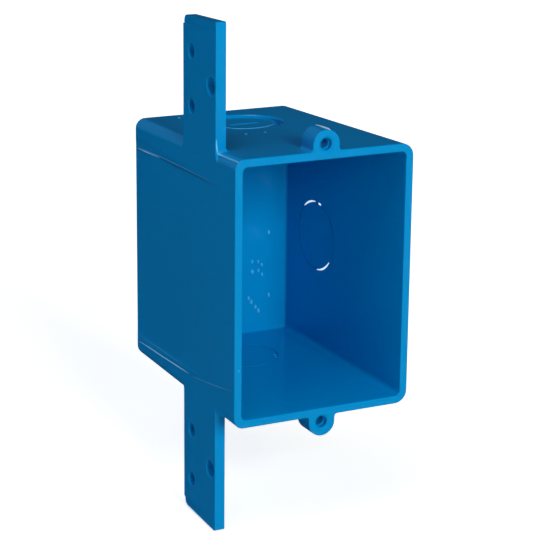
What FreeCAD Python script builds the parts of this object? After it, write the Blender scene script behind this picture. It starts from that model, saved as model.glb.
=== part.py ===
import FreeCAD, Part
import math
import os

import Sketcher

# Single-gang outlet box with its mounting strap, moulded in one piece of rigid PVC.
#
# The frame, in millimetres: X to the right seen from the front, Y into the wall, Z up.
# The origin is in the plane of the front rim, midway between the two device screws.
# The stud side is at -X and the mouth faces -Y.

NODE = "outlet_box"

# Name of each driving dimension, its value, and what it measures.
DIMENSIONS = [
    ("box_width", 57.2, "outside width of the front rim"),
    ("box_height", 79.4, "outside height of the front rim, without the ears"),
    ("box_depth", 72.4, "front rim to back face"),
    ("side_taper", 3.0, "lean of the side opposite the stud, over the whole depth"),
    ("end_taper", 1.6, "lean of the top, and of the bottom, over the whole depth"),
    ("stud_side_draft", 0.35, "lean of the inside of the stud side"),
    ("side_wall", 2.4, "thickness of the four side walls"),
    ("back_wall", 2.4, "thickness of the back"),
    ("stud_corner_radius", 3.1, "outside radius of the two long corners at the stud side"),
    ("far_corner_radius", 3.9, "outside radius of the two long corners opposite the stud"),
    ("inner_corner_radius", 1.6, "inside radius of the four long corners"),
    ("back_edge_radius", 1.8, "outside radius round the back face"),
    ("inner_back_radius", 1.0, "inside radius round the back wall"),
    ("rim_edge_radius", 0.3, "rounding of the outer edge of the rim"),
    ("strap_setback", 13.0, "front rim to the front edge of the strap"),
    ("strap_width", 22.1, "width of the strap, front to back"),
    ("strap_thickness", 3.2, "thickness of the two strap arms"),
    ("arm_length", 36.5, "outside of the top or bottom wall to the end of an arm, at its front edge"),
    ("arm_end_lean", 0.8, "how much shorter each arm is at its rear edge"),
    ("arm_front_corner_radius", 0.6, "front corner of the end of an arm"),
    ("arm_rear_corner_radius", 1.8, "rear corner of the end of an arm"),
    ("strap_root_radius", 1.0, "fillet between an arm and the box"),
    ("tip_length", 2.5, "length of the thinned tip of each arm"),
    ("tip_relief", 0.35, "how far each tip stands back from the stud face, at its rear edge"),
    ("nail_hole_diameter", 4.0, "small holes of the arms"),
    ("nail_hole_setback", 16.6, "front edge of the strap to the small holes"),
    ("nail_hole_spacing", 15.8, "distance between the small holes of one arm"),
    ("screw_hole_diameter", 5.1, "large hole of each arm"),
    ("screw_hole_setback", 3.5, "front edge of the strap to the large hole"),
    ("arm_hole_rise", 17.85, "outside of the top or bottom wall to the middle of an arm's holes"),
    ("hole_chamfer", 0.3, "chamfer of the strap holes on the stud face"),
    ("device_rise", 1.97, "outside of the top or bottom wall to the device screw; spacing 83.34"),
    ("ear_radius", 4.25, "radius of the ears round the device screws"),
    ("ear_length", 8.0, "length of the ears, front to back"),
    ("ear_root_radius", 1.0, "fillet between an ear and the wall"),
    ("ear_end_radius", 0.9, "rounding of the rear end of an ear"),
    ("pilot_diameter", 2.9, "bore that the device screw cuts its thread in"),
    ("lead_diameter", 3.6, "clearance bore at the mouth of the ear"),
    ("lead_depth", 1.8, "depth of the clearance bore"),
    ("lead_mouth_diameter", 5.0, "outside of the chamfer at the mouth"),
    ("lead_mouth_depth", 0.45, "depth of the chamfer at the mouth"),
    ("knockout_inset", 21.4, "back face to the middle of the knockouts"),
    ("knockout_diameter", 23.6, "outside of the groove round a knockout"),
    ("disc_diameter", 20.0, "disc of a knockout"),
    ("disc_recess", 0.6, "how far the disc lies below the face of the wall"),
    ("knockout_web", 0.6, "material left under the groove"),
    ("knockout_chamfer", 0.3, "chamfer of the outer edge of the groove"),
    ("slot_length", 10.0, "pry slot across the disc"),
    ("slot_width", 1.6, "width of the pry slot"),
    ("slot_depth", 0.6, "depth of the pry slot in the disc"),
    ("break_line_diameter", 21.6, "break line on the inside, mean diameter"),
    ("break_line_width", 0.45, "width of the break line"),
    ("break_line_depth", 0.25, "depth of the break line"),
    ("panel_setback", 14.0, "front rim to the start of the drafted stud panel"),
    ("panel_inset", 9.6, "outside of the top or bottom wall to the drafted stud panel"),
    ("panel_margin", 2.8, "width of the panel's sloping margins at the back"),
    ("panel_start", 0.03, "depth and margin that the panel starts with, so that its outline is whole"),
]

# Places that more than one feature shares, as expressions of the sheet's names.
STUD_FACE = "-sizes.box_width / 2"
STRAP_FRONT = "sizes.strap_setback"
STRAP_REAR = "sizes.strap_setback + sizes.strap_width"
ARM_END = "sizes.box_height / 2 + sizes.arm_length"
DEVICE_SCREW = "sizes.box_height / 2 + sizes.device_rise"

# Largest rounding error between two sizes that are the same.
TOUCH = 0.001

SHEET = "sizes"


def make_sheet(doc):
    """Put the driving dimensions in a spreadsheet, one row each."""
    sheet = doc.addObject("Spreadsheet::Sheet", SHEET)
    for row, (name, size, meaning) in enumerate(DIMENSIONS, start=1):
        sheet.set(f"A{row}", name)
        sheet.set(f"B{row}", str(size))
        sheet.set(f"C{row}", meaning)
        sheet.setAlias(f"B{row}", name)
    doc.recompute()
    return sheet


def amount(owner, expression):
    """Give the number that an expression of the sheet's names comes to."""
    return float(owner.evalExpression(expression))


def origin_plane(body, role):
    """Give the plane of the body's own origin that has this role."""
    return next(plane for plane in body.Origin.OriginFeatures if plane.Role == role)


def near(first, second):
    """Say whether two lengths are the same, but for rounding."""
    return abs(first - second) < TOUCH


def is_flat(shape, letter):
    """Say whether a face or edge lies in one plane across an axis."""
    return getattr(shape.BoundBox, f"{letter}Length") < TOUCH


def is_circle(edge):
    """Say whether an edge is a whole circle."""
    return isinstance(edge.Curve, Part.Circle) and len(edge.Vertexes) == 1


class Drawing:
    """A sketch on one plane of the body, with every point tied to named sizes."""

    def __init__(self, body, name, role, base=("0", "0", "0"), tilt_axis=None, tilt=None):
        self.sketch = body.newObject("Sketcher::SketchObject", name)
        self.sketch.AttachmentSupport = [(origin_plane(body, role), "")]
        self.sketch.MapMode = "FlatFace"
        if tilt_axis:
            turn = FreeCAD.Rotation(FreeCAD.Vector(*tilt_axis), 1.0)
            self.sketch.AttachmentOffset = FreeCAD.Placement(FreeCAD.Vector(), turn)
            self.sketch.setExpression("AttachmentOffset.Rotation.Angle", tilt)
        for letter, expression in zip("xyz", base):
            self.sketch.setExpression(f"AttachmentOffset.Base.{letter}", expression)

    def at(self, x, y):
        """Give the point at two expressions, in the sketch's plane."""
        return FreeCAD.Vector(amount(self.sketch, x), amount(self.sketch, y), 0)

    def bind(self, constraint, expression):
        """Add a constraint whose value follows an expression."""
        index = self.sketch.addConstraint(constraint)
        self.sketch.setExpression(f"Constraints[{index}]", expression)

    def tie(self, geometry, vertex, x, y):
        """Hold one vertex at its two distances from the sketch's origin."""
        place = self.at(x, y)
        self.hold(geometry, vertex, "DistanceX", place.x, x)
        self.hold(geometry, vertex, "DistanceY", place.y, y)

    def hold(self, geometry, vertex, kind, distance, expression):
        """Hold one vertex at a distance from an axis, or on that axis where the distance is 0."""
        axis = -2 if kind == "DistanceX" else -1
        if expression == "0":
            self.sketch.addConstraint(Sketcher.Constraint("PointOnObject", geometry, vertex, axis))
        else:
            self.bind(Sketcher.Constraint(kind, -1, 1, geometry, vertex, distance), expression)

    def polygon(self, points):
        """Draw a closed outline of straight lines through points given as expressions."""
        corners = [self.at(x, y) for x, y in points]
        first = self.sketch.GeometryCount
        count = len(points)
        for index, corner in enumerate(corners):
            self.sketch.addGeometry(Part.LineSegment(corner, corners[(index + 1) % count]), False)
        for index, (x, y) in enumerate(points):
            follower = first + (index + 1) % count
            self.sketch.addConstraint(Sketcher.Constraint("Coincident", first + index, 2, follower, 1))
            self.tie(first + index, 1, x, y)
        return self

    def rectangle(self, left, right, bottom, top):
        """Draw a rectangle between four expressions."""
        return self.polygon([(left, bottom), (right, bottom), (right, top), (left, top)])

    def circle(self, x, y, diameter):
        """Draw a circle round a point."""
        circle = Part.Circle(self.at(x, y), FreeCAD.Vector(0, 0, 1), amount(self.sketch, diameter) / 2)
        index = self.sketch.addGeometry(circle, False)
        self.tie(index, 3, x, y)
        self.bind(Sketcher.Constraint("Diameter", index, 2 * circle.Radius), diameter)
        return self

    def arc(self, x, y, radius, start, end):
        """Draw an arc round a point, between two angles in degrees."""
        circle = Part.Circle(self.at(x, y), FreeCAD.Vector(0, 0, 1), amount(self.sketch, radius))
        arc = Part.ArcOfCircle(circle, math.radians(start), math.radians(end))
        index = self.sketch.addGeometry(arc, False)
        self.tie(index, 3, x, y)
        self.bind(Sketcher.Constraint("Radius", index, circle.Radius), radius)
        return index, arc

    def slot(self, length, width):
        """Draw a slot with round ends along the sketch's first axis, round its origin."""
        half = f"({length} - {width}) / 2"
        right, right_arc = self.arc(half, "0", f"{width} / 2", -90, 90)
        left, left_arc = self.arc(f"-{half}", "0", f"{width} / 2", 90, 270)
        top = self.line(right_arc.EndPoint, left_arc.StartPoint)
        bottom = self.line(left_arc.EndPoint, right_arc.StartPoint)
        for first, second in ((right, top), (top, left), (left, bottom), (bottom, right)):
            self.join(first, second, smooth=True)
        return self

    def line(self, start, end):
        """Draw a line between two points and give its number."""
        return self.sketch.addGeometry(Part.LineSegment(start, end), False)

    def join(self, first, second, smooth=False):
        """Join the end of one line or arc to the start of the next."""
        kind = "Tangent" if smooth else "Coincident"
        self.sketch.addConstraint(Sketcher.Constraint(kind, first, 2, second, 1))


def add(body, kind, name, **values):
    """Add a feature to the body; text values are expressions, others are set as they are."""
    feature = body.newObject(f"PartDesign::{kind}", name)
    body.Document.recompute()
    for key, value in values.items():
        if isinstance(value, str) and key in ("Length", "Radius", "Size", "Angle"):
            feature.setExpression(key, value)
        else:
            setattr(feature, key, value)
    body.Document.recompute()
    return feature


def names_of(kind, shapes, test):
    """Name the faces or edges of a shape that pass a test."""
    names = [f"{kind}{index}" for index, shape in enumerate(shapes, start=1) if test(shape)]
    if not names:
        raise ValueError(f"no {kind.lower()} passes the test")
    return names


def round_edges(body, name, radius, test):
    """Fillet the edges of the body so far that pass a test."""
    base = body.Tip
    return add(body, "Fillet", name, Base=(base, names_of("Edge", base.Shape.Edges, test)), Radius=radius)


def chamfer_edges(body, name, size, test):
    """Chamfer the edges of the body so far that pass a test."""
    base = body.Tip
    return add(body, "Chamfer", name, Base=(base, names_of("Edge", base.Shape.Edges, test)), Size=size)


def lean(body, name, taper, neutral, test):
    """Draft the faces that pass a test, so that they lean by a taper over the box's depth."""
    base = body.Tip
    faces = names_of("Face", base.Shape.Faces, test)
    return add(body, "Draft", name, Base=(base, faces), NeutralPlane=neutral, Reversed=True,
               Angle=f"atan({taper} / sizes.box_depth)")


def add_block(body):
    """Make the outside of the box; all sides but the stud side lean in to the back."""
    rim = Drawing(body, "rim_outline", "XZ_Plane")
    rim.rectangle(STUD_FACE, "sizes.box_width / 2", "-sizes.box_height / 2", "sizes.box_height / 2")
    add(body, "Pad", "block", Profile=rim.sketch, Length="sizes.box_depth", Reversed=True)
    half_width = amount(body, "sizes.box_width / 2")
    depth = amount(body, "sizes.box_depth")
    rim_plane = (origin_plane(body, "XZ_Plane"), [""])
    lean(body, "end_drafts", "sizes.end_taper", rim_plane, lambda face: is_flat(face, "Z"))
    lean(body, "side_draft", "sizes.side_taper", rim_plane,
         lambda face: is_flat(face, "X") and near(face.BoundBox.XMin, half_width))

    def is_long(edge):
        return near(edge.BoundBox.YMin, 0) and near(edge.BoundBox.YMax, depth)

    round_edges(body, "stud_corners", "sizes.stud_corner_radius",
                lambda edge: is_long(edge) and edge.BoundBox.XMax < 0)
    round_edges(body, "far_corners", "sizes.far_corner_radius",
                lambda edge: is_long(edge) and near(edge.BoundBox.XMax, half_width))
    round_edges(body, "back_edges", "sizes.back_edge_radius", lambda edge: near(edge.BoundBox.YMin, depth))


def add_cavity(body):
    """Hollow the box from the front: cut the core's small end, then open it towards the mouth."""
    lean_share = "(1 - sizes.back_wall / sizes.box_depth)"
    half_height = f"(sizes.box_height / 2 - sizes.side_wall - sizes.end_taper * {lean_share})"
    left = f"{STUD_FACE} + sizes.side_wall + sizes.stud_side_draft * {lean_share}"
    right = f"sizes.box_width / 2 - sizes.side_wall - sizes.side_taper * {lean_share}"
    core = Drawing(body, "core_outline", "XZ_Plane")
    core.rectangle(left, right, f"-{half_height}", half_height)
    add(body, "Pocket", "cavity", Profile=core.sketch, Length="sizes.box_depth - sizes.back_wall")
    inner_depth = amount(body, "sizes.box_depth - sizes.back_wall")
    left_wall = amount(body, left)
    right_wall = amount(body, right)
    ceiling = amount(body, half_height)

    def is_floor(face):
        return is_flat(face, "Y") and near(face.BoundBox.YMin, inner_depth)

    def wall_at(letter, place):
        return lambda face: (is_flat(face, letter) and near(getattr(face.BoundBox, f"{letter}Min"), place)
                             and near(face.BoundBox.YMax, inner_depth))

    for name, taper, letter, place in (
            ("inner_stud_side_draft", "sizes.stud_side_draft", "X", left_wall),
            ("inner_side_draft", "sizes.side_taper", "X", right_wall),
            ("inner_bottom_draft", "sizes.end_taper", "Z", -ceiling),
            ("inner_top_draft", "sizes.end_taper", "Z", ceiling)):
        base = body.Tip
        floor = names_of("Face", base.Shape.Faces, is_floor)
        lean(body, name, taper, (base, floor), wall_at(letter, place))
    round_edges(body, "inner_corners", "sizes.inner_corner_radius",
                lambda edge: near(edge.BoundBox.YMin, 0) and near(edge.BoundBox.YMax, inner_depth))
    round_edges(body, "inner_back_edges", "sizes.inner_back_radius",
                lambda edge: is_flat(edge, "Y") and near(edge.BoundBox.YMin, inner_depth))


def add_strap(body):
    """Make the strap, whose outer face lies in the plane of the stud side."""
    outline = Drawing(body, "strap_outline", "YZ_Plane", ("0", "0", STUD_FACE))
    short_end = f"({ARM_END} - sizes.arm_end_lean)"
    outline.polygon([(STRAP_FRONT, f"-({ARM_END})"), (STRAP_REAR, f"-{short_end}"),
                     (STRAP_REAR, short_end), (STRAP_FRONT, ARM_END)])
    add(body, "Pad", "strap", Profile=outline.sketch, Length="sizes.strap_thickness")
    front = amount(body, STRAP_FRONT)
    rear = amount(body, STRAP_REAR)
    half_height = amount(body, "sizes.box_height / 2")

    def is_end_corner(edge, place):
        box = edge.BoundBox
        runs_along_x = is_flat(edge, "Y") and is_flat(edge, "Z")
        return runs_along_x and near(box.YMin, place) and abs(box.ZMin) > half_height

    round_edges(body, "arm_front_corners", "sizes.arm_front_corner_radius",
                lambda edge: is_end_corner(edge, front))
    round_edges(body, "arm_rear_corners", "sizes.arm_rear_corner_radius",
                lambda edge: is_end_corner(edge, rear))
    inner_face = amount(body, f"{STUD_FACE} + sizes.strap_thickness")

    def is_root(edge):
        box = edge.BoundBox
        low = max(abs(box.ZMin), abs(box.ZMax)) < half_height + TOUCH
        at_side = near(box.YMin, front) or near(box.YMin, rear)
        across = is_flat(edge, "Y") and at_side and box.XLength > TOUCH
        along = is_flat(edge, "X") and near(box.XMin, inner_face) and box.YLength > TOUCH
        return low and box.XMax < inner_face + TOUCH and (across or along)

    round_edges(body, "strap_roots", "sizes.strap_root_radius", is_root)


def add_ears(body):
    """Make the two ears that take the device screws, flush with the rim."""
    outline = Drawing(body, "ear_outlines", "XZ_Plane")
    for sign in ("", "-"):
        middle = f"{sign}({DEVICE_SCREW})"
        root = f"{sign}(sizes.box_height - sizes.side_wall) / 2"
        start, end = (0, 180) if sign == "" else (180, 360)
        index, arc = outline.arc("0", middle, "sizes.ear_radius", start, end)
        first_foot = outline.at("sizes.ear_radius" if sign == "" else "-sizes.ear_radius", root)
        last_foot = outline.at("-sizes.ear_radius" if sign == "" else "sizes.ear_radius", root)
        rise = outline.line(first_foot, arc.StartPoint)
        fall = outline.line(arc.EndPoint, last_foot)
        base = outline.line(last_foot, first_foot)
        outline.join(rise, index, smooth=True)
        outline.join(index, fall, smooth=True)
        outline.join(fall, base)
        outline.join(base, rise)
        for side in (rise, fall):
            outline.sketch.addConstraint(Sketcher.Constraint("Vertical", side))
        outline.sketch.addConstraint(Sketcher.Constraint("Horizontal", base))
        outline.bind(Sketcher.Constraint("DistanceY", -1, 1, base, 1, last_foot.y), root)
    add(body, "Pad", "ears", Profile=outline.sketch, Length="sizes.ear_length", Reversed=True)
    radius = amount(body, "sizes.ear_radius")
    length = amount(body, "sizes.ear_length")
    half_height = amount(body, "sizes.box_height / 2")
    screw_height = amount(body, DEVICE_SCREW)

    def is_near_ear(edge):
        box = edge.BoundBox
        return max(-box.XMin, box.XMax) < radius + TOUCH and box.YMax < length + TOUCH

    def is_end(edge):
        box = edge.BoundBox
        reach = max(abs(box.ZMin), abs(box.ZMax))
        return is_near_ear(edge) and near(box.YMin, length) and reach > screw_height - TOUCH

    def is_root(edge):
        box = edge.BoundBox
        reach = max(abs(box.ZMin), abs(box.ZMax))
        return is_near_ear(edge) and reach < half_height + TOUCH and edge.Length > TOUCH and box.YMax > TOUCH

    round_edges(body, "ear_ends", "sizes.ear_end_radius", is_end)
    round_edges(body, "ear_roots", "sizes.ear_root_radius", is_root)


def round_rim(body):
    """Round the edges of the front face, round the outside and the ears and round the mouth."""
    round_edges(body, "rim_edges", "sizes.rim_edge_radius",
                lambda edge: is_flat(edge, "Y") and near(edge.BoundBox.YMin, 0))


def add_tips(body):
    """Thin the tips of the arms on the stud face, from nothing at the front edge to the rear edge."""
    tilt = "-atan(sizes.tip_relief / sizes.strap_width)"
    tips = Drawing(body, "tip_outlines", "YZ_Plane", (STRAP_FRONT, "0", STUD_FACE), (0, 1, 0), tilt)
    width = "sqrt(sizes.strap_width ^ 2 + sizes.tip_relief ^ 2)"
    for sign in ("", "-"):
        end = f"{sign}({ARM_END})"
        front_shoulder = f"{sign}({ARM_END} - sizes.tip_length)"
        rear_shoulder = f"{sign}({ARM_END} - sizes.tip_length - sizes.arm_end_lean)"
        tips.polygon([("0", front_shoulder), (width, rear_shoulder), (width, end), ("0", end)])
    add(body, "Pocket", "tips", Profile=tips.sketch, Length="sizes.tip_relief")


def add_strap_holes(body):
    """Drill the holes of the strap: two small ones and a large one in each arm."""
    holes = Drawing(body, "strap_hole_outlines", "YZ_Plane", ("0", "0", STUD_FACE))
    rise = "sizes.box_height / 2 + sizes.arm_hole_rise"
    for sign in ("", "-"):
        for step in ("-", "+"):
            height = f"{sign}({rise} {step} sizes.nail_hole_spacing / 2)"
            holes.circle("sizes.strap_setback + sizes.nail_hole_setback", height, "sizes.nail_hole_diameter")
        holes.circle("sizes.strap_setback + sizes.screw_hole_setback", f"{sign}({rise})",
                     "sizes.screw_hole_diameter")
    add(body, "Pocket", "strap_holes", Profile=holes.sketch, Length="sizes.strap_thickness", Reversed=True)
    face = amount(body, STUD_FACE)
    chamfer_edges(body, "hole_edges", "sizes.hole_chamfer",
                  lambda edge: is_circle(edge) and is_flat(edge, "X") and near(edge.BoundBox.XMin, face))


def add_device_bores(body):
    """Bore the ears: a chamfered clearance hole and a smaller pilot hole right through."""
    bore = Drawing(body, "bore_profile", "YZ_Plane", ("0", DEVICE_SCREW, "0"))
    mouth = "sizes.lead_mouth_diameter / 2"
    lead = "sizes.lead_diameter / 2"
    pilot = "sizes.pilot_diameter / 2"
    bore.polygon([("0", "0"), ("0", mouth), ("sizes.lead_mouth_depth", lead), ("sizes.lead_depth", lead),
                  (f"sizes.lead_depth + {lead} - {pilot}", pilot), ("sizes.ear_length", pilot),
                  ("sizes.ear_length", "0")])
    upper = add(body, "Groove", "upper_bore", Profile=bore.sketch, ReferenceAxis=(bore.sketch, ["H_Axis"]),
                Angle=360)
    mirror = add(body, "Mirrored", "lower_bore", Originals=[upper],
                 MirrorPlane=(origin_plane(body, "XY_Plane"), [""]))
    body.Tip = mirror


def add_knockout(body, name, place, along_normal):
    """Sink one knockout into a wall, square to the wall's outer face.

    The place is the sketch's plane, the knockout's middle on the outer face, the axis that the
    wall leans about and its angle. Along_normal says whether the wall faces along the plane's normal.
    """
    plane, (across, along, up), tilt_axis, tilt = place
    inward = "-" if along_normal else "+"
    inner = f"{up} {inward} sizes.side_wall"
    inner_place = (plane, (across, along, inner), tilt_axis, tilt)
    backwards = not along_normal
    recess = Drawing(body, f"{name}_recess_outline", *place)
    recess.circle("0", "0", "sizes.knockout_diameter")
    add(body, "Pocket", f"{name}_recess", Profile=recess.sketch, Length="sizes.disc_recess",
        Reversed=backwards)
    groove = Drawing(body, f"{name}_groove_outline", *place)
    groove.circle("0", "0", "sizes.knockout_diameter")
    groove.circle("0", "0", "sizes.disc_diameter")
    add(body, "Pocket", f"{name}_groove", Profile=groove.sketch,
        Length="sizes.side_wall - sizes.knockout_web", Reversed=backwards)
    slot = Drawing(body, f"{name}_slot_outline", *place)
    slot.slot("sizes.slot_length", "sizes.slot_width")
    add(body, "Pocket", f"{name}_slot", Profile=slot.sketch, Length="sizes.disc_recess + sizes.slot_depth",
        Reversed=backwards)
    line = Drawing(body, f"{name}_break_line_outline", *inner_place)
    line.circle("0", "0", "sizes.break_line_diameter + sizes.break_line_width")
    line.circle("0", "0", "sizes.break_line_diameter - sizes.break_line_width")
    add(body, "Pocket", f"{name}_break_line", Profile=line.sketch, Length="sizes.break_line_depth",
        Reversed=along_normal)


def add_stud_panel(body):
    """Sink the drafted panel of the stud side, which keeps that wall even."""
    start = Drawing(body, "panel_start_outline", "XZ_Plane", ("0", "0", "-sizes.panel_setback"))
    end = Drawing(body, "panel_end_outline", "XZ_Plane", ("0", "0", "-sizes.box_depth"))
    half = "(sizes.box_height / 2 - sizes.panel_inset)"
    for drawing, depth, margin in ((start, "sizes.panel_start", "sizes.panel_start"),
                                   (end, "sizes.stud_side_draft", "sizes.panel_margin")):
        floor = f"{STUD_FACE} + {depth}"
        edge = f"({half} + {margin})"
        drawing.polygon([(STUD_FACE, f"-{edge}"), (floor, f"-{half}"), (floor, half), (STUD_FACE, edge)])
    add(body, "SubtractiveLoft", "stud_panel", Profile=start.sketch, Sections=[end.sketch], Ruled=True)


def add_knockouts(body):
    """Sink a knockout into the top, the bottom and the right wall, and chamfer their outer edges."""
    setback = "(sizes.box_depth - sizes.knockout_inset)"
    share = f"{setback} / sizes.box_depth"
    middle = f"-sizes.side_taper * {share} / 2"
    height = f"(sizes.box_height / 2 - sizes.end_taper * {share})"
    side = f"sizes.box_width / 2 - sizes.side_taper * {share}"
    end_angle = "atan(sizes.end_taper / sizes.box_depth)"
    side_angle = "atan(sizes.side_taper / sizes.box_depth)"
    along_x = (1, 0, 0)
    along_y = (0, 1, 0)
    top = ("XY_Plane", (middle, setback, height), along_x, f"-{end_angle}")
    bottom = ("XY_Plane", (middle, setback, f"-{height}"), along_x, end_angle)
    right = ("YZ_Plane", (setback, "0", side), along_y, side_angle)
    add_knockout(body, "top_knockout", top, True)
    add_knockout(body, "bottom_knockout", bottom, False)
    add_knockout(body, "side_knockout", right, True)
    radius = amount(body, "sizes.knockout_diameter / 2")
    inner_side = amount(body, "sizes.box_width / 2 - sizes.side_taper")
    inner_height = amount(body, "sizes.box_height / 2 - sizes.end_taper")

    def is_outer_edge(edge):
        if not (is_circle(edge) and near(edge.Curve.Radius, radius)):
            return False
        centre = edge.Curve.Center
        return centre.x > inner_side or abs(centre.z) > inner_height

    chamfer_edges(body, "knockout_edges", "sizes.knockout_chamfer", is_outer_edge)


def build(doc):
    """Model the outlet box as one body and give it back."""
    body = doc.addObject("PartDesign::Body", NODE)
    body.Label = NODE
    add_block(body)
    add_strap(body)
    add_ears(body)
    add_cavity(body)
    round_rim(body)
    add_tips(body)
    add_strap_holes(body)
    add_device_bores(body)
    add_knockouts(body)
    add_stud_panel(body)
    return body


def check(doc, body):
    """Stop if a feature failed or the body isn't one sound solid."""
    doc.recompute()
    for feature in doc.Objects:
        if "Invalid" in feature.State or "Error" in feature.State:
            raise RuntimeError(f"{feature.Label} failed: {feature.State}")
        if feature.TypeId == "Sketcher::SketchObject" and not feature.FullyConstrained:
            raise RuntimeError(f"{feature.Label} isn't fully constrained")
    if body.Shape.isNull() or not body.Shape.isValid() or len(body.Shape.Solids) != 1:
        raise RuntimeError(f"{body.Label} isn't one sound solid")


def main():
    """Model the part and write its one solid."""
    doc = FreeCAD.newDocument("outlet_box_model")
    make_sheet(doc)
    body = build(doc)
    check(doc, body)
    os.makedirs("parts", exist_ok=True)
    body.Shape.exportStep(os.path.join("parts", f"{body.Label}.step"))
    print(f"{body.Label}: {body.Shape.Volume:.1f} cubic mm")


main()
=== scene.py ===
"""Looks of a single-gang outlet box with its mounting strap, moulded in one piece of rigid PVC.

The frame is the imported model's own, in metres: X to the right seen from the front, Y into the
wall, Z up. The origin is in the plane of the front rim, midway between the two device screws.
The stud side is at -X and the mouth faces -Y. Fine details are given in millimetres.
"""

import logging
import math
from dataclasses import dataclass
from enum import Enum

import bmesh
import bpy
from mathutils import Matrix, Vector


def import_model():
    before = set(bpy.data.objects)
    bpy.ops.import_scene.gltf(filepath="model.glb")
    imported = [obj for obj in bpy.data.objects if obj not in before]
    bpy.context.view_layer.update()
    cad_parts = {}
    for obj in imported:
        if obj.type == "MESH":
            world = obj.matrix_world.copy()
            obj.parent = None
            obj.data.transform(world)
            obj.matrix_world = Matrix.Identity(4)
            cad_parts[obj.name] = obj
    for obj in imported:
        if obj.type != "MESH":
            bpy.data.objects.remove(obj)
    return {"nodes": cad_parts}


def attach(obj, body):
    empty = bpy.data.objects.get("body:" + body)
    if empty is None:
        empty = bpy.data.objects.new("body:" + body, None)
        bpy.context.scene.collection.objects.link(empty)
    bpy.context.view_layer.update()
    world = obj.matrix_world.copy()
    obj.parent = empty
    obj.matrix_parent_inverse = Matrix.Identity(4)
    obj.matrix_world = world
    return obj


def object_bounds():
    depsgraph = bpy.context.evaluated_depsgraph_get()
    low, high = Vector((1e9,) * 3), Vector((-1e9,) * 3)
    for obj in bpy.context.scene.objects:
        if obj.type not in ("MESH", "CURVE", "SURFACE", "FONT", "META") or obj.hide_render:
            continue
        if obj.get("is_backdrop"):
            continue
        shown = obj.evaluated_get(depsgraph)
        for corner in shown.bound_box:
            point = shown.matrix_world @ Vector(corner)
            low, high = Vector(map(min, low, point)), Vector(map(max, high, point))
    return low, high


LOG = logging.getLogger("outlet_box")

MM = 0.001
BODY = "root"
SHELL_NODE = "outlet_box"

# Name of the attribute that holds a bead's thickness along its line.
TAPER = "taper"

# Facets round a bead, and round and along a pip.
BEAD_SIDES = 12
PIP_SIDES = 20
PIP_RINGS = 10

# Smallest and largest pip of a group, as shares of its radius.
SMALLEST_PIP = 0.8
LARGEST_PIP = 1.15

Place = tuple[float, float, float]
Proportions = tuple[float, float, float]
Values = dict[str | int, object]
Links = dict[str | int, bpy.types.NodeSocket]


def linear(hex_colour: str) -> tuple[float, float, float, float]:
    """Turn an sRGB hex colour into the linear colour that a shader takes.

    The sRGB curve is a straight line near black and a power law above it.

    Args:
        hex_colour: Six hex digits, with or without a leading hash.

    Returns:
        Red, green, blue and an alpha of 1, all linear.
    """
    digits = hex_colour.lstrip("#")
    channels = [int(digits[place:place + 2], 16) / 255 for place in (0, 2, 4)]
    values = [c / 12.92 if c <= 0.04045 else ((c + 0.055) / 1.055) ** 2.4 for c in channels]
    return (values[0], values[1], values[2], 1.0)


def add_node(tree: bpy.types.NodeTree, kind: str, links: Links | None = None,
             inputs: Values | None = None, **settings: object) -> bpy.types.Node:
    """Add one node with its settings, its socket values and the links that feed it.

    Args:
        tree: The node tree that the node goes into.
        kind: The node's type name.
        links: The output socket that feeds each input, by the input's name or number.
        inputs: The constant value of each input, by its name or number.
        **settings: Properties of the node itself.

    Returns:
        The new node.
    """
    node = tree.nodes.new(kind)
    for key, setting in settings.items():
        setattr(node, key, setting)
    for key, value in (inputs or {}).items():
        node.inputs[key].default_value = value
    for key, source in (links or {}).items():
        tree.links.new(source, node.inputs[key])
    return node


def new_tree(name: str, sockets: dict[str, str]) -> tuple[bpy.types.NodeTree, bpy.types.Node]:
    """Start a geometry node tree that takes a geometry and some named values.

    Args:
        name: The tree's name.
        sockets: The socket type of each named input.

    Returns:
        The tree and its input node.
    """
    tree = bpy.data.node_groups.new(name, "GeometryNodeTree")
    tree.interface.new_socket(name="Geometry", in_out="INPUT", socket_type="NodeSocketGeometry")
    for label, kind in sockets.items():
        tree.interface.new_socket(name=label, in_out="INPUT", socket_type=kind)
    tree.interface.new_socket(name="Geometry", in_out="OUTPUT", socket_type="NodeSocketGeometry")
    return tree, add_node(tree, "NodeGroupInput")


def end_tree(tree: bpy.types.NodeTree, grown: bpy.types.NodeSocket,
             finish: bpy.types.NodeSocket) -> None:
    """End a tree: make the instances real, shade them smooth and put the finish on.

    Args:
        tree: The tree to end.
        grown: The geometry that the tree has made.
        finish: The material input.
    """
    real = add_node(tree, "GeometryNodeRealizeInstances", {"Geometry": grown})
    smooth = add_node(tree, "GeometryNodeSetShadeSmooth", {"Geometry": real.outputs["Geometry"]})
    dressed = add_node(tree, "GeometryNodeSetMaterial",
                       {"Geometry": smooth.outputs["Geometry"], "Material": finish})
    add_node(tree, "NodeGroupOutput", {"Geometry": dressed.outputs["Geometry"]})


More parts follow.
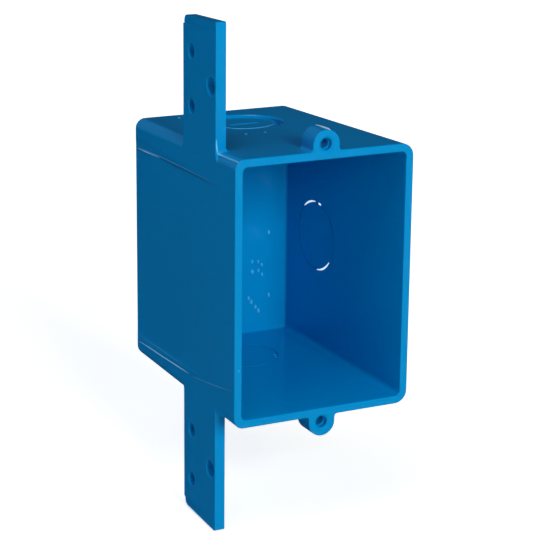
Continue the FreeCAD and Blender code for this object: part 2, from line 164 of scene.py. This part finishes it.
def bead_tree() -> bpy.types.NodeTree:
    """Make the tree that lays a round bead along a line of points, thinner where the taper is small.

    Returns:
        The tree, with the inputs Radius and Finish.
    """
    tree, given = new_tree("bead_along_line",
                           {"Radius": "NodeSocketFloat", "Finish": "NodeSocketMaterial"})
    line = add_node(tree, "GeometryNodeMeshToCurve", {"Mesh": given.outputs["Geometry"]})
    taper = add_node(tree, "GeometryNodeInputNamedAttribute", inputs={"Name": TAPER},
                     data_type="FLOAT")
    ring = add_node(tree, "GeometryNodeCurvePrimitiveCircle", {"Radius": given.outputs["Radius"]},
                    {"Resolution": BEAD_SIDES})
    bead = add_node(tree, "GeometryNodeCurveToMesh",
                    {"Curve": line.outputs["Curve"], "Profile Curve": ring.outputs["Curve"],
                     "Scale": taper.outputs["Attribute"]}, {"Fill Caps": True})
    end_tree(tree, bead.outputs["Mesh"], given.outputs["Finish"])
    return tree


def pip_tree() -> bpy.types.NodeTree:
    """Make the tree that puts a flattened pip on each point, each a little larger or smaller.

    Returns:
        The tree, with the inputs Radius, Proportions, Seed and Finish.
    """
    tree, given = new_tree("pip_on_each_point",
                           {"Radius": "NodeSocketFloat", "Proportions": "NodeSocketVector",
                            "Seed": "NodeSocketInt", "Finish": "NodeSocketMaterial"})
    ball = add_node(tree, "GeometryNodeMeshUVSphere", {"Radius": given.outputs["Radius"]},
                    {"Segments": PIP_SIDES, "Rings": PIP_RINGS})
    # Inputs 2 and 3 of Random Value are the limits of a plain number, and output 1 is the number.
    spread = add_node(tree, "FunctionNodeRandomValue", {"Seed": given.outputs["Seed"]},
                      {2: SMALLEST_PIP, 3: LARGEST_PIP}, data_type="FLOAT")
    scale = add_node(tree, "ShaderNodeVectorMath",
                     {0: given.outputs["Proportions"], "Scale": spread.outputs[1]},
                     operation="SCALE")
    pips = add_node(tree, "GeometryNodeInstanceOnPoints",
                    {"Points": given.outputs["Geometry"], "Instance": ball.outputs["Mesh"],
                     "Scale": scale.outputs["Vector"]})
    end_tree(tree, pips.outputs["Instances"], given.outputs["Finish"])
    return tree


def grow(name: str, seeds: bpy.types.Mesh, tree: bpy.types.NodeTree, values: Values) -> None:
    """Grow one piece from its seed mesh with a tree, and let the finished mesh ride on the body.

    Args:
        name: The piece's name.
        seeds: The points, or the line of points, that the piece grows on.
        tree: The tree that grows it.
        values: The value of each named input of the tree.
    """
    seed = bpy.data.objects.new(f"{name}_seeds", seeds)
    bpy.context.scene.collection.objects.link(seed)
    growth = seed.modifiers.new("growth", "NODES")
    growth.node_group = tree
    sockets = {item.name: item.identifier for item in tree.interface.items_tree
               if item.in_out == "INPUT"}
    for label, value in values.items():
        growth[sockets[label]] = value
    graph = bpy.context.evaluated_depsgraph_get()
    mesh = bpy.data.meshes.new_from_object(seed.evaluated_get(graph), depsgraph=graph)
    mesh.name = name
    seed.modifiers.remove(growth)
    bpy.data.objects.remove(seed)
    piece = bpy.data.objects.new(name, mesh)
    bpy.context.scene.collection.objects.link(piece)
    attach(piece, BODY)
    LOG.info("%s: %d faces", name, len(mesh.polygons))


@dataclass(frozen=True)
class Pattern:
    """A fractal pattern of a surface: the size of its patches, its detail and its roughness."""

    patch_mm: float
    detail: float = 2.0
    roughness: float = 0.5

    def values(self) -> Values:
        """Give the socket values of the noise that makes it."""
        return {"Scale": 1 / (self.patch_mm * MM), "Detail": self.detail,
                "Roughness": self.roughness}


@dataclass(frozen=True)
class Finish:
    """One finish of the moulding, with a material that is made once and then shared."""

    name: str
    colour: str

    def material(self) -> bpy.types.Material:
        """Give the finish's material, which is built the first time.

        Returns:
            The material.
        """
        material = bpy.data.materials.get(self.name)
        if material is None:
            material = bpy.data.materials.new(self.name)
            material.use_nodes = True
            material.node_tree.nodes.clear()
            self.build(material.node_tree)
        return material

    def build(self, tree: bpy.types.NodeTree) -> None:
        """Build the nodes, which each kind of finish does in its own way."""
        raise NotImplementedError


@dataclass(frozen=True)
class MouldedPvc(Finish):
    """Injection-moulded rigid PVC, pigmented right through, from a polished steel mould.

    The mould leaves an even satin gloss with a very slight orange peel. The melt flowed in one
    direction, so the pigment shows faint long clouds.
    """

    name: str = "rigid_pvc_injection_moulded"
    colour: str = "#0093DA"
    cloud_colour: str = "#008FD4"
    roughness: float = 0.17
    roughness_spread: float = 0.04
    ior: float = 1.53
    clouds: Pattern = Pattern(30.0, 3.0, 0.45)
    flow_stretch: Proportions = (1.0, 0.35, 1.0)
    peel: Pattern = Pattern(0.9)
    peel_depth_mm: float = 0.006
    peel_strength: float = 0.5

    def build(self, tree: bpy.types.NodeTree) -> None:
        """Build the nodes.

        Args:
            tree: The material's empty tree.
        """
        place = add_node(tree, "ShaderNodeTexCoord").outputs["Object"]
        stretched = add_node(tree, "ShaderNodeMapping", {"Vector": place},
                             {"Scale": self.flow_stretch})
        cloud = add_node(tree, "ShaderNodeTexNoise", {"Vector": stretched.outputs["Vector"]},
                         self.clouds.values())
        colour = add_node(tree, "ShaderNodeMix", {"Factor": cloud.outputs["Fac"]},
                          data_type="RGBA")
        colour.inputs["A"].default_value = linear(self.colour)
        colour.inputs["B"].default_value = linear(self.cloud_colour)
        peel = add_node(tree, "ShaderNodeTexNoise", {"Vector": place}, self.peel.values())
        bump = add_node(tree, "ShaderNodeBump", {"Height": peel.outputs["Fac"]},
                        {"Strength": self.peel_strength, "Distance": self.peel_depth_mm * MM})
        rough = add_node(tree, "ShaderNodeMapRange", {"Value": cloud.outputs["Fac"]},
                         {"To Min": self.roughness - self.roughness_spread / 2,
                          "To Max": self.roughness + self.roughness_spread / 2})
        surface = add_node(tree, "ShaderNodeBsdfPrincipled",
                           {"Base Color": colour.outputs["Result"],
                            "Normal": bump.outputs["Normal"],
                            "Roughness": rough.outputs["Result"]}, {"IOR": self.ior})
        add_node(tree, "ShaderNodeOutputMaterial", {"Surface": surface.outputs["BSDF"]})


@dataclass(frozen=True)
class PalePvc(Finish):
    """The same rigid PVC, paler than the wall, in patches: painted highlights on fine ridges, edges
    and pips.
    """

    thick_colour: str
    roughness: float = 0.3
    ior: float = 1.53
    patches: Pattern = Pattern(5.0, 2.0, 0.6)

    def build(self, tree: bpy.types.NodeTree) -> None:
        """Build the nodes.

        Args:
            tree: The material's empty tree.
        """
        place = add_node(tree, "ShaderNodeTexCoord").outputs["Object"]
        patch = add_node(tree, "ShaderNodeTexNoise", {"Vector": place}, self.patches.values())
        colour = add_node(tree, "ShaderNodeMix", {"Factor": patch.outputs["Fac"]},
                          data_type="RGBA")
        colour.inputs["A"].default_value = linear(self.colour)
        colour.inputs["B"].default_value = linear(self.thick_colour)
        surface = add_node(tree, "ShaderNodeBsdfPrincipled",
                           {"Base Color": colour.outputs["Result"]},
                           {"Roughness": self.roughness, "IOR": self.ior})
        add_node(tree, "ShaderNodeOutputMaterial", {"Surface": surface.outputs["BSDF"]})


@dataclass(frozen=True)
class SlitGlow(Finish):
    """A sliver along the break line that glows: painted light for the light that shows through where
    the break line is moulded thinnest.
    """

    name: str = "break_line_painted_glow"
    colour: str = "#F2F8FC"
    roughness: float = 0.4
    light: float = 0.75
    light_spread: float = 0.3
    patches: Pattern = Pattern(1.5)

    def build(self, tree: bpy.types.NodeTree) -> None:
        """Build the nodes.

        Args:
            tree: The material's empty tree.
        """
        place = add_node(tree, "ShaderNodeTexCoord").outputs["Object"]
        patch = add_node(tree, "ShaderNodeTexNoise", {"Vector": place}, self.patches.values())
        light = add_node(tree, "ShaderNodeMapRange", {"Value": patch.outputs["Fac"]},
                         {"To Min": self.light - self.light_spread / 2,
                          "To Max": self.light + self.light_spread / 2})
        surface = add_node(tree, "ShaderNodeBsdfPrincipled",
                           {"Emission Strength": light.outputs["Result"]},
                           {"Base Color": linear(self.colour),
                            "Emission Color": linear(self.colour), "Roughness": self.roughness})
        add_node(tree, "ShaderNodeOutputMaterial", {"Surface": surface.outputs["BSDF"]})


# Painted shade: a matt line darker than the polished wall, for the shade under a step of the panel's
# margin.
STEP_SHADE = MouldedPvc("rigid_pvc_step_painted_shade", "#004F86", "#005C98", roughness=0.6)

# Flash squeezed out between the mould halves, coloured pale blue as a painted highlight along its
# edge.
FLASH_HIGHLIGHT = PalePvc("rigid_pvc_flash_painted_highlight", "#B4E4FF", "#80CCF8")

# Glossy, and a little paler than the wall: a painted highlight along edges and ridges.
EDGE_HIGHLIGHT = PalePvc("rigid_pvc_edge_painted_highlight", "#4CB0E6", "#1C94D6", roughness=0.2)

# Light blue: a painted highlight on a rounded corner and the strap's root.
CORNER_HIGHLIGHT = PalePvc("rigid_pvc_corner_painted_highlight", "#84DAFF", "#60C8FF")

# Nearly white: a painted highlight along the top of the upper ear.
WHITE_HIGHLIGHT = PalePvc("rigid_pvc_white_painted_highlight", "#F2FAFF", "#C8E8FF")

# Pips moulded in small pits of the steel: smooth, with a colour paler than the wall that is a painted
# highlight.
PIP_HIGHLIGHT = PalePvc("rigid_pvc_pips_painted_highlight", "#5CC8FA", "#20B0F0", roughness=0.2)


@dataclass(frozen=True)
class Lamp:
    """One soft square lamp that faces the object, with a share of its light in reflections."""

    name: str
    place: Place
    side: float
    power: float
    colour: str
    mirrored: float = 1.0

    def hang(self) -> None:
        """Add the lamp to the scene and, where it is dimmed, the dim twin that reflections show.

        The twin hangs in the same place, so the lamp itself is left out of the reflections and
        doesn't catch the rays that look for the twin.
        """
        lamp = self.add(self.name, self.power)
        if self.mirrored < 1.0:
            lamp.visible_glossy = False
            lamp.data.cycles.use_multiple_importance_sampling = False
            twin = self.add(f"{self.name}_mirrored", self.power * self.mirrored)
            twin.visible_diffuse = False
            twin.visible_transmission = False

    def add(self, name: str, power: float) -> bpy.types.Object:
        """Add one lamp.

        Args:
            name: The lamp's name.
            power: Its power in watts.

        Returns:
            The lamp.
        """
        data = bpy.data.lights.new(name, "AREA")
        data.shape = "SQUARE"
        data.size = self.side
        data.energy = power
        data.color = linear(self.colour)[:3]
        lamp = bpy.data.objects.new(name, data)
        lamp.location = self.place
        lamp.rotation_euler = (-Vector(self.place)).to_track_quat("-Z", "Y").to_euler()
        bpy.context.scene.collection.objects.link(lamp)
        return lamp


@dataclass
class Studio:
    """The plain pale floor, the soft lamps, the white surround and the camera.

    Lengths and places are in metres, angles in radians and the lamps' powers in watts.
    """

    floor_radius: float = 3.0
    floor_sides: int = 96
    floor_gap: float = 0.0005
    floor_colour: str = "#F2F2F2"
    floor_mirrored: str = "#121212"
    glow_near: float = 0.7
    glow_far: float = 1.0
    glow_reach: tuple[float, float] = (0.1, 0.9)
    surround_colour: str = "#FFFFFF"
    surround_light: float = 0.03
    surround_mirrored: float = 0.012
    camera_place: Place = (-0.260598, -0.482355, 0.161681)
    heading: float = -0.466671
    pitch: float = -0.279077
    roll: float = -0.010104
    lens_mm: float = 132.2539
    lamps: tuple[Lamp, ...] = (
        Lamp("key", (-0.023, -1.285, 0.479), 0.5, 13.2, "#FFFFF5", mirrored=0.05),
        Lamp("upper_left", (-0.512, -0.266, 1.269), 0.9, 6.4, "#E9F0FF", mirrored=0.5),
        Lamp("high_rear", (-0.406, 1.209, 0.636), 1.5, 1.5, "#8CC8EE"),
        Lamp("left_rear", (-1.208, 0.727, 0.122), 0.9, 1.9, "#E6EDFF"),
    )

    def build(self, lowest: float) -> None:
        """Set up everything round the object.

        Args:
            lowest: Height of the object's lowest point, in metres.
        """
        self.add_floor(lowest - self.floor_gap)
        self.add_surround()
        for lamp in self.lamps:
            lamp.hang()
        self.add_camera()
        bpy.context.scene.view_settings.view_transform = "Standard"

    def add_floor(self, height: float) -> None:
        """Lay a round floor.

        Args:
            height: The height that it lies at, in metres.
        """
        mesh = bpy.data.meshes.new("floor")
        shape = bmesh.new()
        bmesh.ops.create_circle(shape, cap_ends=True, segments=self.floor_sides,
                                radius=self.floor_radius)
        shape.transform(Matrix.Translation((0, 0, height)))
        shape.to_mesh(mesh)
        shape.free()
        floor = bpy.data.objects.new("floor", mesh)
        bpy.context.scene.collection.objects.link(floor)
        mesh.materials.append(self.floor_paper())
        floor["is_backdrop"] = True

    def floor_paper(self) -> bpy.types.Material:
        """Make matt studio paper, which glows to the camera alone and more so far from the object.

        Returns:
            The material.
        """
        material = bpy.data.materials.new("floor_paper_matt")
        material.use_nodes = True
        tree = material.node_tree
        tree.nodes.clear()
        path = add_node(tree, "ShaderNodeLightPath")
        tone = add_node(tree, "ShaderNodeMix", {"Factor": path.outputs["Is Glossy Ray"]},
                        data_type="RGBA")
        tone.inputs["A"].default_value = linear(self.floor_colour)
        tone.inputs["B"].default_value = linear(self.floor_mirrored)
        paper = add_node(tree, "ShaderNodeBsdfDiffuse", {"Color": tone.outputs["Result"]})
        place = add_node(tree, "ShaderNodeTexCoord").outputs["Object"]
        distance = add_node(tree, "ShaderNodeVectorMath", {0: place}, operation="LENGTH")
        share = add_node(tree, "ShaderNodeMapRange", {"Value": distance.outputs["Value"]},
                         {"From Min": self.glow_reach[0], "From Max": self.glow_reach[1],
                          "To Min": self.glow_near, "To Max": self.glow_far})
        strength = add_node(tree, "ShaderNodeMath",
                            {0: share.outputs["Result"], 1: path.outputs["Is Camera Ray"]},
                            operation="MULTIPLY")
        glow = add_node(tree, "ShaderNodeEmission", {"Strength": strength.outputs["Value"]})
        both = add_node(tree, "ShaderNodeAddShader",
                        {0: paper.outputs["BSDF"], 1: glow.outputs["Emission"]})
        add_node(tree, "ShaderNodeOutputMaterial", {"Surface": both.outputs["Shader"]})
        return material

    def add_surround(self) -> None:
        """Make the surround white to the camera, faint as a light and fainter in reflections."""
        world = bpy.data.worlds.new("studio_surround")
        bpy.context.scene.world = world
        world.use_nodes = True
        tree = world.node_tree
        tree.nodes.clear()
        path = add_node(tree, "ShaderNodeLightPath")
        mirrored = add_node(tree, "ShaderNodeMapRange", {"Value": path.outputs["Is Glossy Ray"]},
                            {"To Min": self.surround_light, "To Max": self.surround_mirrored})
        seen = add_node(tree, "ShaderNodeMath",
                        {0: mirrored.outputs["Result"], 1: path.outputs["Is Camera Ray"]},
                        operation="MAXIMUM")
        light = add_node(tree, "ShaderNodeBackground", {"Strength": seen.outputs["Value"]},
                         {"Color": linear(self.surround_colour)})
        add_node(tree, "ShaderNodeOutputWorld", {"Surface": light.outputs["Background"]})

    def add_camera(self) -> None:
        """Put the camera at the photograph's viewing angle."""
        data = bpy.data.cameras.new("camera")
        data.lens = self.lens_mm
        camera = bpy.data.objects.new("camera", data)
        # A camera looks down at first, so the last turn lifts it to look along +Y.
        turn = (Matrix.Rotation(self.heading, 4, "Z") @ Matrix.Rotation(self.pitch, 4, "X")
                @ Matrix.Rotation(self.roll, 4, "Y") @ Matrix.Rotation(math.radians(90), 4, "X"))
        camera.matrix_world = Matrix.Translation(self.camera_place) @ turn
        bpy.context.scene.collection.objects.link(camera)
        bpy.context.scene.camera = camera


@dataclass
class Moulding:
    """The moulded box itself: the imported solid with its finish."""

    finish: Finish = MouldedPvc()

    def dress(self, node: bpy.types.Object) -> None:
        """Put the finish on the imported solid.

        Args:
            node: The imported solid.
        """
        material = self.finish.material()
        for holder in node.material_slots:
            holder.material = material
        LOG.info("%s: %s", node.name, material.name)


class Ends(Enum):
    """How a bead runs out."""

    TAPERED = "thin at its two ends only"
    SWOLLEN = "thinner all the way from its middle"


@dataclass(frozen=True)
class Bead:
    """One fine bead: its points and radius in millimetres, its finish and how it runs out."""

    name: str
    points: tuple[Place, ...]
    radius: float
    finish: Finish
    thin_end: float = 0.3
    ends: Ends = Ends.TAPERED

    def taper_at(self, share: float) -> float:
        """Work out how thick the bead is at one place.

        Args:
            share: The place, as a share of the bead's length.

        Returns:
            The thickness there, as a share of the full one.
        """
        if self.ends is Ends.SWOLLEN:
            return self.thin_end + (1 - self.thin_end) * math.sin(math.pi * share)
        return self.thin_end if share in (0.0, 1.0) else 1.0

    def line(self) -> bpy.types.Mesh:
        """Make the line that the bead is laid along.

        Returns:
            A mesh of its points, joined by edges, with the taper at each point.
        """
        mesh = bpy.data.meshes.new(f"{self.name}_line")
        places = [Vector(point) * MM for point in self.points]
        mesh.from_pydata(places, [(at, at + 1) for at in range(len(places) - 1)], [])
        taper = mesh.attributes.new(TAPER, "FLOAT", "POINT")
        for at in range(len(places)):
            taper.data[at].value = self.taper_at(at / (len(places) - 1))
        return mesh

    def lay(self, tree: bpy.types.NodeTree) -> None:
        """Lay the bead with the bead tree."""
        grow(self.name, self.line(), tree,
             {"Radius": self.radius * MM, "Finish": self.finish.material()})


@dataclass
class FineLines:
    """The fine lines of the outside, round the stud side's drafted panel and on edges: the pale ones
    are painted highlights and the dark one is painted shade.
    """

    # The ridges are paler than the wall as a painted highlight along the panel's margins.
    panel_margins: tuple[Bead, ...] = (
        Bead("upper_panel_ridge",
             ((-28.28, 69.9, 29.3), (-28.31, 59.0, 29.6), (-28.36, 53.1, 29.8),
              (-28.45, 36.5, 30.05), (-28.55, 14.4, 30.05)),
             0.2, EDGE_HIGHLIGHT),
        Bead("lower_panel_ridge",
             ((-28.4, 69.9, -31.45), (-28.44, 53.4, -31.15), (-28.55, 32.2, -31.06)),
             0.17, EDGE_HIGHLIGHT),
        # Painted shade: a dark line where the upper margin's step lies in shade.
        Bead("upper_panel_step",
             ((-28.44, 53.1, 29.5), (-28.5, 36.5, 29.7), (-28.58, 14.4, 29.75)),
             0.16, STEP_SHADE),
    )
    # Paler lines along the lower parting line and round the top disc: painted highlights.
    parting_and_disc: tuple[Bead, ...] = (
        Bead("lower_parting_trace",
             ((-28.57, 29.5, -32.4), (-28.57, 25.0, -31.9), (-28.57, 17.3, -30.96),
              (-28.57, 9.6, -29.77), (-28.57, 1.8, -28.45)),
             0.18, EDGE_HIGHLIGHT),
        Bead("top_disc_trace",
             ((-9.3, 49.8, 38.03), (-8.8, 47.6, 38.07), (-7.0, 45.1, 38.1), (-4.1, 43.5, 38.13),
              (-0.6, 43.1, 38.14), (2.8, 43.8, 38.13), (6.0, 45.9, 38.09), (8.0, 49.2, 38.03),
              (8.4, 51.5, 37.99)),
             0.18, EDGE_HIGHLIGHT),
    )
    # Painted highlights on the rounded corner and at the strap's root.
    painted_corner_lines: tuple[Bead, ...] = (
        Bead("top_corner_trace",
             ((-28.0, 13.0, 38.95), (-27.75, 12.6, 38.75), (-27.6, 11.2, 38.66),
              (-27.56, 9.0, 38.7), (-27.54, 5.6, 38.79), (-27.52, 2.5, 38.88),
              (-27.5, 0.35, 38.93)),
             0.26, CORNER_HIGHLIGHT, 0.6),
        Bead("strap_root_trace",
             ((-28.33, 13.12, 43.4), (-28.33, 13.1, 42.2), (-28.3, 13.08, 41.2),
              (-28.22, 13.05, 40.4), (-28.1, 13.0, 39.6), (-28.0, 13.0, 38.95)),
             0.28, CORNER_HIGHLIGHT, ends=Ends.SWOLLEN),
    )
    # Flash ridges whose pale colour is a painted highlight.
    flash: tuple[Bead, ...] = (
        Bead("upper_flash",
             ((-28.33, 70.0, 29.0), (-28.36, 64.5, 29.1), (-28.4, 59.0, 29.32),
              (-28.43, 53.1, 29.52)),
             0.2, FLASH_HIGHLIGHT),
        Bead("lower_flash",
             ((-28.58, 69.6, -33.35), (-28.58, 61.0, -33.06), (-28.58, 53.2, -32.93),
              (-28.58, 45.5, -32.71), (-28.58, 38.0, -32.46), (-28.58, 31.7, -32.31)),
             0.2, FLASH_HIGHLIGHT),
        # A nearly white painted highlight along the top of the upper ear.
        Bead("top_ear_highlight",
             ((0.95, 0.1, 45.78), (0.9, 1.0, 45.8), (0.6, 4.0, 45.86), (0.3, 7.4, 45.88)),
             0.33, WHITE_HIGHLIGHT),
    )

    def build(self, tree: bpy.types.NodeTree) -> None:
        """Lay every line with the bead tree."""
        for bead in (*self.panel_margins, *self.parting_and_disc, *self.painted_corner_lines, *self.flash):
            bead.lay(tree)


@dataclass(frozen=True)
class Arc:
    """A stretch of the side knockout's break line: 0 degrees is to the back and 90 is straight up."""

    name: str
    start: float
    end: float


@dataclass
class BreakLineGlow:
    """The places of the side knockout's break line that are moulded thinnest, in millimetres, each
    given a sliver that glows with painted light.
    """

    middle_y: float = 51.0
    middle_z: float = 0.0
    wall_x: float = 24.08
    wall_lean: float = -0.0413
    ring_radius: float = 10.9
    skin_radius: float = 0.3
    steps: int = 12
    finish: Finish = SlitGlow()
    arcs: tuple[Arc, ...] = (
        Arc("upper_break_glow", 49.0, 87.0),
        Arc("upper_glowing_break_dot", 98.0, 106.0),
        Arc("lower_break_glow", 219.0, 264.0),
    )

    def place(self, angle: float) -> Place:
        """Give the place on the leaning wall that the break line reaches at an angle.

        Args:
            angle: The angle round the knockout, in degrees.

        Returns:
            The place, in millimetres.
        """
        y = self.middle_y + self.ring_radius * math.cos(math.radians(angle))
        z = self.middle_z + self.ring_radius * math.sin(math.radians(angle))
        return (self.wall_x + self.wall_lean * (y - self.middle_y), y, z)

    def build(self, tree: bpy.types.NodeTree) -> None:
        """Lay a thin glowing sliver along each arc: painted light.

        Args:
            tree: The bead tree.
        """
        for arc in self.arcs:
            turn = (arc.end - arc.start) / self.steps
            points = tuple(self.place(arc.start + turn * step) for step in range(self.steps + 1))
            Bead(arc.name, points, self.skin_radius, self.finish, ends=Ends.SWOLLEN).lay(tree)


@dataclass(frozen=True)
class Pips:
    """A group of plain raised pips: their places and radius in millimetres, and their proportions."""

    name: str
    places: tuple[Place, ...]
    radius: float
    proportions: Proportions

    def build(self, tree: bpy.types.NodeTree, finish: Finish, seed: int) -> None:
        """Set the pips.

        Args:
            tree: The pip tree.
            finish: Their finish.
            seed: The seed of their small differences in size.
        """
        mesh = bpy.data.meshes.new(f"{self.name}_places")
        mesh.from_pydata([Vector(place) * MM for place in self.places], [], [])
        grow(self.name, mesh, tree, {"Radius": self.radius * MM, "Proportions": self.proportions,
                                     "Seed": seed, "Finish": finish.material()})


@dataclass
class PalePipsAndGlints:
    """Plain pale pips: a cluster on the back wall and single ones elsewhere; the floor and top ones
    are painted glints.
    """

    back_wall_y: float = 70.0
    back_places: tuple[tuple[float, float], ...] = (
        (17.0, -2.8), (11.1, -12.0), (13.3, -12.2), (14.6, -13.4), (11.2, -15.4), (13.4, -15.2),
        (14.7, -16.7), (17.2, -23.9), (10.0, -24.1), (10.9, -25.5), (12.4, -27.4), (13.5, -28.8))
    finish: Finish = PIP_HIGHLIGHT
    seed: int = 7

    def groups(self) -> tuple[Pips, ...]:
        """List the groups of pips.

        Returns:
            The groups, in the order that they are set in.
        """
        back = tuple((x, self.back_wall_y, z) for x, z in self.back_places)
        return (
            Pips("back_wall_pips", back, 0.62, (0.8, 0.8, 1.25)),
            Pips("gate_pip", ((-16.3, 65.8, 38.25),), 0.5, (1.0, 1.0, 0.5)),
            # The floor pips and the top pips are painted glints: pale dots where the lamp's highlight
            # falls.
            Pips("floor_glint_pips", ((8.0, 46.9, -36.27), (7.4, 44.8, -36.31)), 0.35, (1.0, 1.0, 0.5)),
            Pips("top_glint_pips", ((-9.2, 33.3, 38.93), (-2.9, 33.2, 38.93)), 0.25, (2.2, 1.0, 0.6)),
            Pips("rim_pip", ((-27.2, 0.0, -22.0),), 0.3, (0.5, 0.4, 1.4)),
        )

    def build(self, tree: bpy.types.NodeTree) -> None:
        """Set every group with the pip tree."""
        for number, group in enumerate(self.groups()):
            group.build(tree, self.finish, self.seed + number)


def main() -> None:
    """Build every class in order."""
    logging.basicConfig(level=logging.INFO, format="%(name)s: %(message)s")
    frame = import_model()
    cad_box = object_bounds()
    Moulding().dress(frame["nodes"][SHELL_NODE])
    bead, pip = bead_tree(), pip_tree()
    FineLines().build(bead)
    BreakLineGlow().build(bead)
    PalePipsAndGlints().build(pip)
    Studio().build(cad_box[0].z)


if __name__ == "__main__":
    main()
